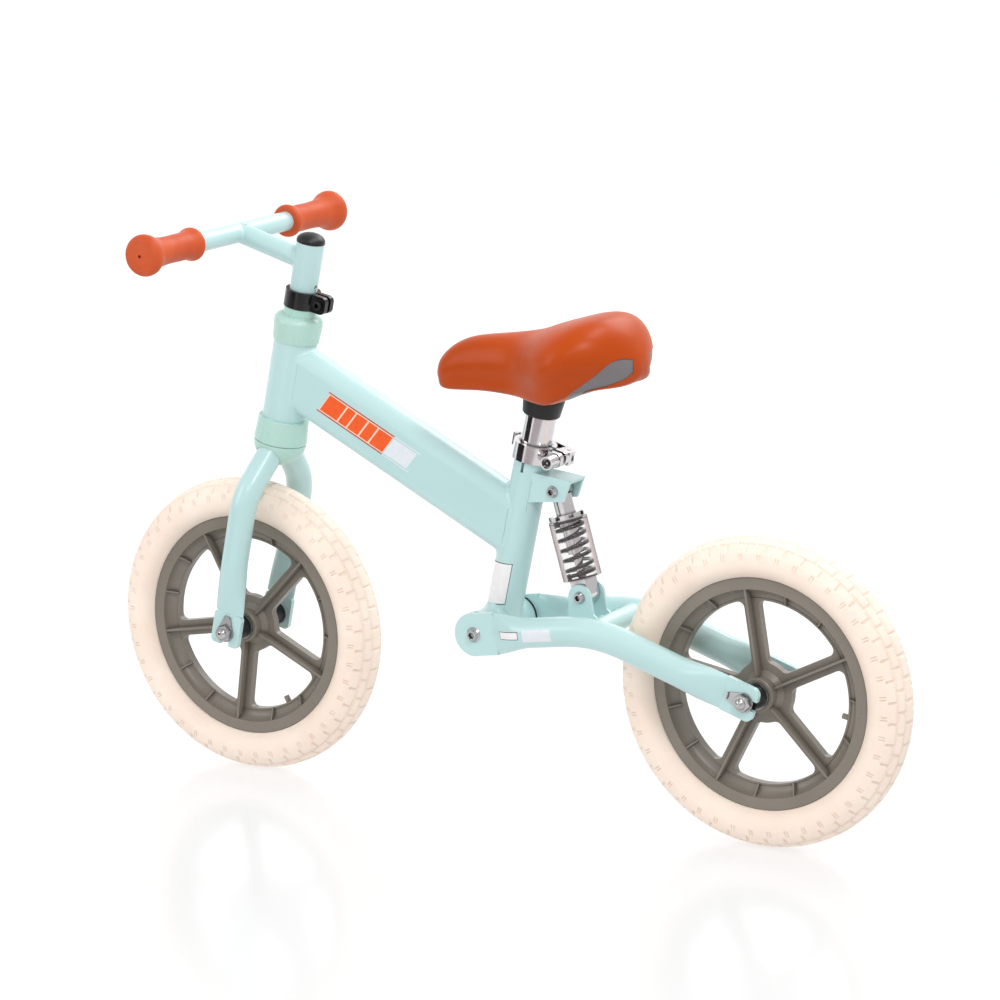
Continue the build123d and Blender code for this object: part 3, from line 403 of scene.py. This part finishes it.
def slot_at(phase, centre, half, soft):
    """1 within half of a slot's centre, falling to 0 over soft. Phase 1 is phase 0 of the next repeat."""
    away = abs((phase - centre + 0.5) % 1 - 0.5)
    return min(max((half + soft - away) / soft, 0), 1)


def tread_depth(phase, length):
    """How deep the moulded pattern is at a place: two grooves, staggered slots and pairs of side notches."""
    middle = slot_at(phase, 0.5, HALF_SLOT, SLOT_WALL)
    between = slot_at(phase, 0.0, HALF_SLOT, SLOT_WALL)
    pair = max(slot_at(phase, centre, HALF_NOTCH, NOTCH_WALL) for centre in NOTCHES)
    groove = max(gate(length, *edges, TREAD_WALL) for edges in (INNER_GROOVE, OUTER_GROOVE))
    crown = min(middle, gate(length, -9, INNER_GROOVE[0], TREAD_WALL))
    second = min(between, gate(length, INNER_GROOVE[1], OUTER_GROOVE[0], TREAD_WALL))
    shoulder = min(middle, gate(length, OUTER_GROOVE[1], SHOULDER_END, SIDE_WALL))
    side = min(pair, gate(length, *SIDE_NOTCH, SIDE_WALL))
    return max(1.2 * groove, 1.5 * crown, 1.5 * second, 1.8 * shoulder, 1.1 * side)


def tyre_mesh(name, node, hub, body):
    half = half_section()
    other_half = [(r, -y, s, Vector((n.x, -n.y))) for r, y, s, n in half[1:]]
    section = other_half[::-1] + half
    columns = TREAD_PERIODS * len(PHASE_STOPS)
    points = []
    for k in range(columns):
        phase = PHASE_STOPS[k % len(PHASE_STOPS)]
        turn = 2 * pi * (k // len(PHASE_STOPS) + phase) / TREAD_PERIODS
        ring = []
        for radius, sideways, length, normal in section:
            depth = tread_depth(phase, length)
            ring.append((radius - normal.x * depth, sideways - normal.y * depth))
        ring += RIM_SEAT
        points += [(hub.x / MM + r * cos(turn), y, hub.z / MM + r * sin(turn)) for r, y in ring]
    rows = len(section) + len(RIM_SEAT)
    made = piece(name, points, sheet_faces(columns, rows, True, True), TYRE, body)
    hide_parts(node)


# ---------------------------------------------------------------- saddle


TAIL_START = -157.2


def close_tail(mesh):
    """Wrap the skin round the pad behind TAIL_START, so that the arch ends short of the tail."""
    joined = bmesh.new()
    joined.from_mesh(mesh)
    ends = [joined.verts.new(v.co) for v in mesh.vertices if v.co.x < TAIL_START * MM]
    hull = bmesh.ops.convex_hull(joined, input=ends)
    bmesh.ops.delete(joined, geom=[v for v in hull["geom_interior"] if not v.link_faces], context="VERTS")
    joined.to_mesh(mesh)
    joined.free()


def saddle_cushion():
    """The pad with its edges rolled over and its surface evened out, as a foam moulding's are."""
    made = bpy.data.objects.new("saddle_cushion", NODES["saddle_pad"].data.copy())
    bpy.context.scene.collection.objects.link(made)
    close_tail(made.data)
    remesh = made.modifiers.new("even", "REMESH")
    remesh.mode = "VOXEL"
    remesh.voxel_size = 1.0 * MM
    smooth = made.modifiers.new("roll", "SMOOTH")
    smooth.factor = 0.5
    smooth.iterations = 8
    evaluated = made.evaluated_get(bpy.context.evaluated_depsgraph_get())
    mesh = bpy.data.meshes.new_from_object(evaluated)
    made.modifiers.clear()
    made.data = mesh
    mesh.polygons.foreach_set("use_smooth", [True] * len(mesh.polygons))
    mesh.materials.clear()
    mesh.materials.append(SADDLE_SKIN)
    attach(made, "seat")
    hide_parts("saddle_pad")


# ---------------------------------------------------------------- spring


WIRE_RADIUS = 1.9
COIL_STEPS = 56


def spring_path(low, high, radius, turns):
    """Centre line of a compression spring with a closed turn at each end."""
    total = turns + 1.5
    stops = [k / COIL_STEPS for k in range(int(total * COIL_STEPS) + 1)]
    leads = [min(turn, total - turn) for turn in stops]
    rise = [0.0]
    for first, second in zip(leads, leads[1:]):
        # The coil rises at less than half its open pitch in the closed turns.
        rise.append(rise[-1] + float(np.interp((first + second) / 2, (0.75, 1.05), (0.42, 1.0))))
    scale = (high - low - 2 * WIRE_RADIUS) / rise[-1]
    path = []
    for turn, height in zip(stops, rise):
        angle = 2 * pi * turn
        path.append((radius * cos(angle), radius * sin(angle), low + WIRE_RADIUS + height * scale))
    return path


def swept(path, radius, sides):
    """Points and faces of a round bar along an open path, closed by a flat face at each end."""
    path = [Vector(p) for p in path]
    points = []
    side = None
    for k, centre in enumerate(path):
        along = (path[min(k + 1, len(path) - 1)] - path[max(k - 1, 0)]).normalized()
        side = (side - along * side.dot(along)).normalized() if side else along.orthogonal().normalized()
        across = along.cross(side)
        for j in range(sides):
            angle = 2 * pi * j / sides
            points.append(centre + (side * cos(angle) + across * sin(angle)) * radius)
    faces = sheet_faces(len(path), sides, True)
    faces.append(tuple(range(sides)))
    faces.append(tuple(range(len(points) - 1, len(points) - 1 - sides, -1)))
    return points, faces


def shock_spring():
    """Coil between the two spring seats, which are 18 and 70 mm up the shock from its lower eye."""
    side = Vector((SHOCK_AXIS.z, 0, -SHOCK_AXIS.x))
    points, faces = swept(spring_path(18.05, 69.95, 13.3, 4.6), WIRE_RADIUS, 18)
    origin = SHOCK_LOW / MM
    placed = [origin + side * p.x + Vector((0, 1, 0)) * p.y + SHOCK_AXIS * p.z for p in points]
    made = piece("shock_coil", placed, faces, SPRING_CHROME, "shock_upper")
    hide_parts("shock_spring")
    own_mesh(made)


# ---------------------------------------------------------------- welds


def circle_profile(centre, axis, radius, count=72):
    """Outline of a round tube that runs in the bike's middle plane, as (point, normal) pairs."""
    side = Vector((0, 1, 0))
    other = axis.cross(side).normalized()
    turns = [2 * pi * k / count for k in range(count)]
    normals = [side * cos(turn) + other * sin(turn) for turn in turns]
    return [(centre + normal * radius, normal) for normal in normals]


def oval_profile(centre, axis, width, height, corner):
    """Outline of the down tube, as (point, normal) pairs: a rectangle with large round corners."""
    side = Vector((0, 1, 0))
    up = axis.cross(side).normalized()
    cores = []
    for sy, sz in ((1, 1), (-1, 1), (-1, -1), (1, -1)):
        cores.append(centre + (side * sy * (width / 2 - corner) + up * sz * (height / 2 - corner)))
    profile = []
    for k, core in enumerate(cores):
        for step in range(9):
            turn = pi / 2 * (k + step / 8)
            normal = side * cos(turn) + up * sin(turn)
            profile.append((core + normal * corner, normal))
        start = core + normal * corner
        end = cores[(k + 1) % 4] + normal * corner
        profile += [(start.lerp(end, step / 6), normal) for step in range(1, 6)]
    return profile


def weld(name, profile, direction, target, size, body, floor=None):
    """Painted fillet where a tube's outline, carried along its direction, meets another piece.

    Where the outline misses the piece, or meets it below the floor, it stops at the floor's height. Without
    a floor, it stops at the height of the place on the piece that is nearest to a point 50 mm along.
    """
    loops = []
    for k, (start, normal) in enumerate(profile):
        hit = target.ray_cast(start, direction, 400)[0]
        if hit is None or (floor is not None and hit.z < floor):
            level = floor if floor is not None else target.find_nearest(start + direction * 50)[0].z
            hit = start + direction * ((level - start.z) / direction.z)
        ripple = size * (1 + 0.05 * sin(k * 1.9) + 0.03 * sin(k * 0.7))
        on_tube = hit - direction * ripple
        on_target = target.find_nearest(hit + normal * ripple)[0]
        curve = []
        for step in range(9):
            t = step / 8
            curve.append(on_tube * (1 - t) ** 2 + hit * 2 * t * (1 - t) + on_target * t ** 2)
        outward = (on_tube + on_target - hit * 2).normalized()
        curve = [p + outward * (0.12 * sin(pi * j / 8) - 0.02) for j, p in enumerate(curve)]
        loops.append(curve + [hit - outward * 0.6])
    columns = len(loops[0])
    points = [p for loop in loops for p in loop]
    piece(name, points, sheet_faces(len(loops), columns, True, True), PAINT, body)


def bead(name, path, radius, body):
    """Weld bead along an open path, with a slight ripple."""
    sides = 12
    points, faces = swept(path, radius, sides)
    for k, centre in enumerate(path):
        fade = min(1, 0.45 + 0.25 * min(k, len(path) - 1 - k))
        swell = fade * (1 + 0.07 * sin(k * 1.7))
        for j in range(k * sides, (k + 1) * sides):
            points[j] = centre + (points[j] - centre) * swell
    piece(name, points, faces, PAINT, body)


def steering(x, y, s):
    """Place that is x ahead of the steering axis and s up along it from the front hub."""
    foot_x, foot_z = STEERING_FOOT
    return Vector((foot_x + x * cos(RAKE) - s * sin(RAKE), y, foot_z + x * sin(RAKE) + s * cos(RAKE)))


def seat(x, y, t):
    """Place that is x ahead of the seat tube's axis and t up along it from its foot."""
    foot_x, foot_z = SEAT_TUBE_FOOT
    ahead = x * cos(SEAT_ANGLE) - t * sin(SEAT_ANGLE)
    return Vector((foot_x + ahead, y, foot_z + x * sin(SEAT_ANGLE) + t * cos(SEAT_ANGLE)))


def behind_seat_tube(y, t):
    """Place on the back of the seat tube, y to the side of its middle."""
    return seat(-sqrt(SEAT_TUBE_RADIUS ** 2 - y ** 2), y, t)


def frame_welds():
    along = (DOWN_TUBE_FRONT - DOWN_TUBE_REAR).normalized()
    outline = oval_profile((DOWN_TUBE_FRONT + DOWN_TUBE_REAR) / 2, along, *DOWN_TUBE_SECTION)
    weld("weld_head_tube", outline, along, tree_of("head_tube"), 4.6, "frame")
    weld("weld_seat_tube", outline, -along, tree_of("seat_tube"), 4.6, "frame")
    down = -(seat(0, 0, 1) - seat(0, 0, 0))
    ring = circle_profile(seat(0, 0, 70), down, SEAT_TUBE_RADIUS, 96)
    weld("weld_pivot_shell", ring, down, tree_of("pivot_shell"), 7.0, "frame", floor=176.5)
    left = [behind_seat_tube(14.0, t) for t in np.linspace(121.5, 151.0, 24)]
    top = [behind_seat_tube(y, 151.4 + 0.2 * abs(y) / 14) for y in np.linspace(13.0, -13.0, 22)]
    right = [Vector((p.x, -p.y, p.z)) for p in reversed(left)]
    bead("weld_top_bracket", left + top + right, 1.1, "frame")


def arm_welds():
    """Fillets at both ends of the cross tube, and beads where the shock's lower bracket stands on it."""
    x, z = CROSS_TUBE.x / MM, CROSS_TUBE.z / MM
    for side, hand in ((1, "left"), (-1, "right")):
        ring = []
        for angle in np.linspace(0, 2 * pi, 72, endpoint=False):
            normal = Vector((cos(angle), 0, sin(angle)))
            ring.append((Vector((x, 0, z)) + normal * CROSS_TUBE_RADIUS, normal))
        weld(f"weld_cross_tube_{hand}", ring, Vector((0, side, 0)), tree_of(f"arm_{hand}"), 3.2, "swing_arm")
        path = []
        radius = CROSS_TUBE_RADIUS + 0.1
        for angle in np.linspace(radians(-38), radians(62), 20):
            path.append(Vector((x + radius * cos(angle), side * 14.0, z + radius * sin(angle))))
        bead(f"weld_lower_bracket_{hand}", path, 1.5, "swing_arm")


def stem_welds():
    stem = steering(0, 0, 370.5)
    bar = steering(80.4, 0, 376.5)
    along = (bar - stem).normalized()
    ring = circle_profile((stem + bar) / 2, along, 9.75)
    weld("weld_stem", ring, -along, tree_of("stem_tube"), 3.0, "bar_assembly")
    weld("weld_bar", ring, along, tree_of("handlebar"), 2.8, "bar_assembly")


# ---------------------------------------------------------------- quick-release


def nut_socket_shade():
    """Black disc in the end of the quick-release's nut, with a small socket: painted shade for the shadow in
    the nut's hollow.
    """
    centre = sum(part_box("qr_barrel_nut"), Vector()) / 2 / MM
    nut = tree_of("qr_barrel_nut", "qr_skewer")
    depth = nut.ray_cast(Vector((centre.x, 60, centre.z)), Vector((0, -1, 0)), 80)[0].y
    profile = [(0.9, -0.4), (1.1, 0.45), (1.5, 0.7), (2.6, 0.6), (3.1, 0.3), (3.2, -0.3)]
    sides = 32
    turns = np.linspace(0, 2 * pi, sides, endpoint=False)
    points = [(centre.x + r * cos(a), depth + h, centre.z + r * sin(a)) for r, h in profile for a in turns]
    faces = sheet_faces(len(profile), sides, True)
    faces.append(tuple(range(sides - 1, -1, -1)))
    faces.append(tuple(range(len(points) - sides, len(points))))
    # The black disc is painted shade in the nut's socket.
    piece("qr_nut_socket_shade", points, faces, BLACK, "frame")


# ---------------------------------------------------------------- labels and stripes


def film(name, corners, place, lift, material, body, count=(12, 4)):
    """Thin film over a surface. place turns the surface's own two coordinates into a point and a normal."""
    across, along = count
    a, b, c, d = [Vector(corner) for corner in corners]
    top, under = [], []
    for i in range(across + 1):
        for j in range(along + 1):
            u, v = i / across, j / along
            at = a * (1 - u) * (1 - v) + b * u * (1 - v) + c * u * v + d * (1 - u) * v
            point, normal = place(at.x, at.y)
            top.append(point + normal * lift)
            under.append(point - normal * 0.1)
    rows, columns = across + 1, along + 1
    faces = sheet_faces(rows, columns)
    total = len(top)
    faces += [tuple(total + k for k in reversed(face)) for face in faces]
    rim = list(range(columns))
    rim += [i * columns + along for i in range(1, rows)]
    rim += [across * columns + j for j in range(along - 1, -1, -1)]
    rim += [i * columns for i in range(across - 1, 0, -1)]
    for k, first in enumerate(rim):
        second = rim[(k + 1) % len(rim)]
        faces.append((first, second, total + second, total + first))
    made = piece(name, top + under, faces, material, body)
    made.data.polygons.foreach_set("use_smooth", [False] * len(made.data.polygons))


def on_down_tube(s, h):
    """Place on the down tube's left side, s forward of its rear end and h above its middle."""
    side = Vector((0, 1, 0))
    along = (DOWN_TUBE_FRONT - DOWN_TUBE_REAR).normalized()
    up = Vector((-along.z, 0, along.x))
    return DOWN_TUBE_REAR + side * (DOWN_TUBE_SECTION[0] / 2) + along * s + up * h, side


def on_seat_tube(turn, t):
    """Place on the seat tube, turned that many degrees to the left of its front."""
    angle = radians(turn)
    point = seat(SEAT_TUBE_RADIUS * cos(angle), SEAT_TUBE_RADIUS * sin(angle), t)
    return point, (point - seat(0, 0, t)).normalized()


def on_arm(tree):
    """Places on the swing arm's left side, measured back from the pivot along the arm and up from it."""
    foot = SEAT_TUBE_FOOT[1]
    tilt = atan2(194.4 - foot, 131.5)

    def place(s, h):
        point = Vector((1.0 - s * cos(tilt) + h * sin(tilt), 120, foot + s * sin(tilt) + h * cos(tilt)))
        hit, normal = tree.ray_cast(point, Vector((0, -1, 0)), 200)[:2]
        return hit, normal if normal.y > 0 else -normal

    return place


def slanted(start, end, low, high):
    """Corners of a leaning bar between two places along the tube."""
    lean = 0.235
    foot, top = lean * low, lean * high
    return [(start - foot, low), (end - foot, low), (end - top, high), (start - top, high)]


def stripes():
    """Row of plain leaning stripes on the down tube, with no lettering."""
    bars = ((184.6, 205.4), (173.2, 182.8), (158.4, 171.4), (146.0, 156.6), (127.8, 144.2))
    for k, (start, end) in enumerate(bars):
        film(f"stripe_bar_{k}", slanted(start, end, -9.1, 9.6), on_down_tube, 0.16, ORANGE_FILM, "frame")
    for name, low, high in (("top", 10.9, 12.1), ("foot", -11.6, -10.4)):
        line = slanted(127.0, 208.0, low, high)
        pale_line = slanted(94.0, 126.4, low + 0.1, high - 0.1)
        film(f"stripe_line_{name}", line, on_down_tube, 0.16, EDGE_FILM, "frame")
        film(f"stripe_pale_line_{name}", pale_line, on_down_tube, 0.16, PALE_FILM, "frame")
    film("stripe_ground", slanted(127.0, 206.4, -10.1, 10.6), on_down_tube, 0.08, PEACH_FILM, "frame")
    film("stripe_pale_block", slanted(98.0, 126.4, -9.1, 9.6), on_down_tube, 0.12, PALE_FILM, "frame")


def labels():
    """Blank labels: each edge is a dark film a little larger than the pale one above it."""
    edge = [(34, 21), (118, 27), (118, 68), (34, 63.6)]
    paper = [(36, 21.8), (116, 27.8), (116, 67.2), (36, 62.8)]
    film("seat_label_edge", edge, on_seat_tube, 0.08, INK, "frame", (24, 6))
    film("seat_label", paper, on_seat_tube, 0.14, PAPER, "frame", (24, 6))
    place = on_arm(tree_of("arm_left"))
    edge = [(33, -4.0), (57.2, -3.6), (57.2, 3.9), (33, 3.5)]
    paper = [(33.6, -3.4), (56.6, -3.0), (56.6, 3.3), (33.6, 2.9)]
    pale = [(62, -6), (92.6, -6.2), (92.6, 5.4), (62, 5.4)]
    film("arm_label_edge", edge, place, 0.08, INK, "swing_arm", (16, 6))
    film("arm_label", paper, place, 0.14, PAPER, "swing_arm", (16, 6))
    film("arm_label_pale", pale, place, 0.1, PALE_FILM, "swing_arm", (16, 6))


# ---------------------------------------------------------------- stage


# The stage is in metres. TOWARD points from the bike to the camera, and ASIDE to the picture's right.
TOWARD = Vector((-0.5208, 0.8537, 0))
ASIDE = Vector((-0.8537, -0.5208, 0))
UP = Vector((0, 0, 1))


def add_sheet(surface, corners):
    """Flat sheet of the stage, named after its surface."""
    name = surface.material.name
    mesh = bpy.data.meshes.new(name)
    mesh.from_pydata([tuple(corner) for corner in corners], [], [(0, 1, 2, 3)])
    mesh.materials.append(surface.material)
    sheet = bpy.data.objects.new(name, mesh)
    bpy.context.scene.collection.objects.link(sheet)
    return sheet


def add_floor():
    s = Surface("floor", IOR=1.2, Emission_Color=(1, 1, 1, 1), Emission_Strength=0.64)
    s.tint(s.noise(0.8, 3), (0.26, 0.26, 0.26, 1), (0.25, 0.25, 0.25, 1))
    s.rough(s.noise(0.3, 3), 0.14, 0.17)
    half = 60.0
    add_sheet(s, [(-half, -half, 0), (half, -half, 0), (half, half, 0), (-half, half, 0)])


def add_card(name, corners, colour, glow=0.0):
    """Studio card that only mirrors see, so that it hides nothing and casts no shadow.

    A glowing card lights the scene as well.
    """
    s = Surface(name, IOR=1.3, Emission_Color=(1, 1, 1, 1), Emission_Strength=glow)
    s.tint(s.noise(0.5, 2), colour, tuple(c * 0.92 for c in colour[:3]) + (1,))
    s.rough(s.noise(0.2, 2), 0.7, 0.8)
    card = add_sheet(s, corners)
    card.visible_camera = False
    card.visible_shadow = False
    card.visible_diffuse = glow > 0
    card.visible_transmission = False


def upright(middle, side, half_width, height):
    """Corners of an upright card that stands on the floor."""
    places = ((-half_width, 0), (half_width, 0), (half_width, height), (-half_width, height))
    return [middle + side * across + UP * up for across, up in places]


def add_cards():
    """Dark card for the chrome's stripe, a grey one on the floor near the camera, and the bright wall."""
    azimuth = radians(40)
    outward = Vector((cos(azimuth), sin(azimuth), 0))
    side = Vector((-sin(azimuth), cos(azimuth), 0))
    add_card("card_left", upright(outward * 0.95, side, 0.375, 0.4), (0.012, 0.012, 0.013, 1))
    places = ((0.78, -1.1), (0.78, 1.1), (2.5, 1.1), (2.5, -1.1))
    corners = [TOWARD * near + ASIDE * away + UP * 0.001 for near, away in places]
    add_card("card_front", corners, (0.42, 0.38, 0.39, 1))
    add_card("backdrop", upright(-TOWARD * 3.2, ASIDE, 4, 3), (0.3, 0.3, 0.3, 1), glow=0.98)


def add_world():
    world = bpy.data.worlds.new("studio")
    bpy.context.scene.world = world
    world.use_nodes = True
    background = world.node_tree.nodes["Background"]
    background.inputs[0].default_value = (1, 1, 1, 1)
    background.inputs[1].default_value = 0.68


def add_light(name, place, target, size, power):
    data = bpy.data.lights.new(name, "AREA")
    data.shape = "RECTANGLE"
    data.size, data.size_y = size
    data.energy = power
    light = bpy.data.objects.new(name, data)
    bpy.context.scene.collection.objects.link(light)
    light.location = place
    light.rotation_euler = (Vector(target) - Vector(place)).to_track_quat("-Z", "Y").to_euler()


def add_lights():
    add_light("key", (-1.6, 1.6, 2.4), (0, 0, 0.25), (0.9, 0.9), 25)
    add_light("side", (1.9, 1.9, 1.2), (0, 0, 0.25), (1.2, 1.6), 15)
    add_light("back", (-0.4, -2.2, 2.2), (0, 0, 0.3), (2.0, 1.0), 25)
    add_light("front", (-0.75, 2.3, 1.7), (-0.05, 0, 0.35), (0.4, 0.4), 3.5)
    add_light("top", (-0.5, -0.2, 1.7), (-0.05, 0, 0.4), (0.9, 0.5), 7)


def add_camera():
    data = bpy.data.cameras.new("camera")
    data.lens = 142.144
    data.sensor_width = 36
    camera = bpy.data.objects.new("camera", data)
    bpy.context.scene.collection.objects.link(camera)
    camera.location = (-1.877886, 3.071453, 1.094493)
    camera.rotation_euler = (radians(77.47361), radians(1.14594), radians(-148.87188))
    bpy.context.scene.camera = camera


def build():
    dress_cad()
    tyre_mesh("front_tyre_tread", "front_tyre", FRONT_HUB, "wheel_front")
    tyre_mesh("rear_tyre_tread", "rear_tyre", REAR_HUB, "wheel_rear")
    saddle_cushion()
    shock_spring()
    frame_welds()
    arm_welds()
    stem_welds()
    nut_socket_shade()
    stripes()
    labels()
    add_floor()
    add_cards()
    add_world()
    add_lights()
    add_camera()
    bpy.context.scene.view_settings.view_transform = "Standard"


build()
